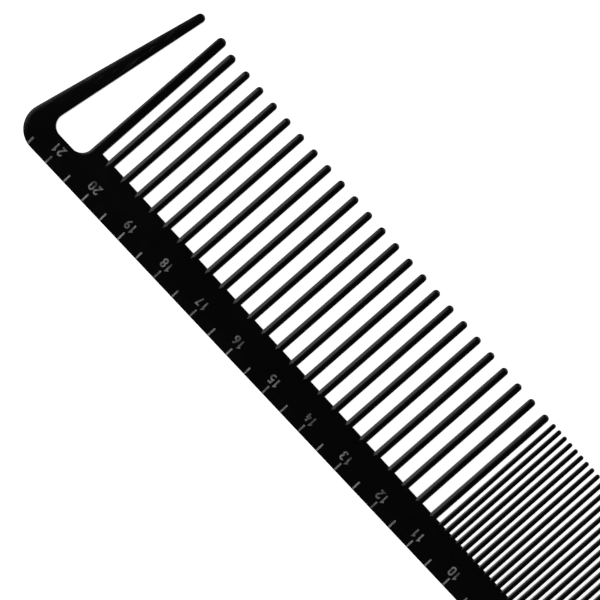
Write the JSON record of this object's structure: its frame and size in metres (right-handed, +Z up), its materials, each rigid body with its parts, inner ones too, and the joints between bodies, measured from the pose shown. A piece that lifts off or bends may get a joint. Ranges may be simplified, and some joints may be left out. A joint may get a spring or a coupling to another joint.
{
  "type": "hook-ended cutting comb",
  "caption": "Flat styling and cutting comb with coarse and fine teeth, a hook tooth for sectioning hair, and a centimetre scale along its straight back.",
  "frame": {"origin": "under the middle of the comb's length and depth, on the plane that it lies on", "axes": "+X along the straight back edge towards the hook tooth, +Y from the tooth tips towards the back edge, +Z up out of the face with the scale"},
  "size_m": [0.2222, 0.0412, 0.0033],
  "materials": {
    "comb_plastic": "satin black carbon-filled plastic",
    "scale_print": "grey printed ink, a little worn"
  },
  "bodies": {
    "root": {"spine": "comb_plastic", "hook_tooth": "comb_plastic", "lead_tooth": "comb_plastic", "coarse_teeth": "comb_plastic", "fine_teeth": "comb_plastic", "guard_tooth": "comb_plastic", "centimetre_ticks": "scale_print", "half_centimetre_ticks": "scale_print", "numeral_1": "scale_print", "numeral_2": "scale_print", "numeral_3": "scale_print", "numeral_4": "scale_print", "numeral_5": "scale_print", "numeral_6": "scale_print", "numeral_7": "scale_print", "numeral_8": "scale_print", "numeral_9": "scale_print", "numeral_10": "scale_print", "numeral_11": "scale_print", "numeral_12": "scale_print", "numeral_13": "scale_print", "numeral_14": "scale_print", "numeral_15": "scale_print", "numeral_16": "scale_print", "numeral_17": "scale_print", "numeral_18": "scale_print", "numeral_19": "scale_print", "numeral_20": "scale_print", "numeral_21": "scale_print"}
  },
  "joints": []
}
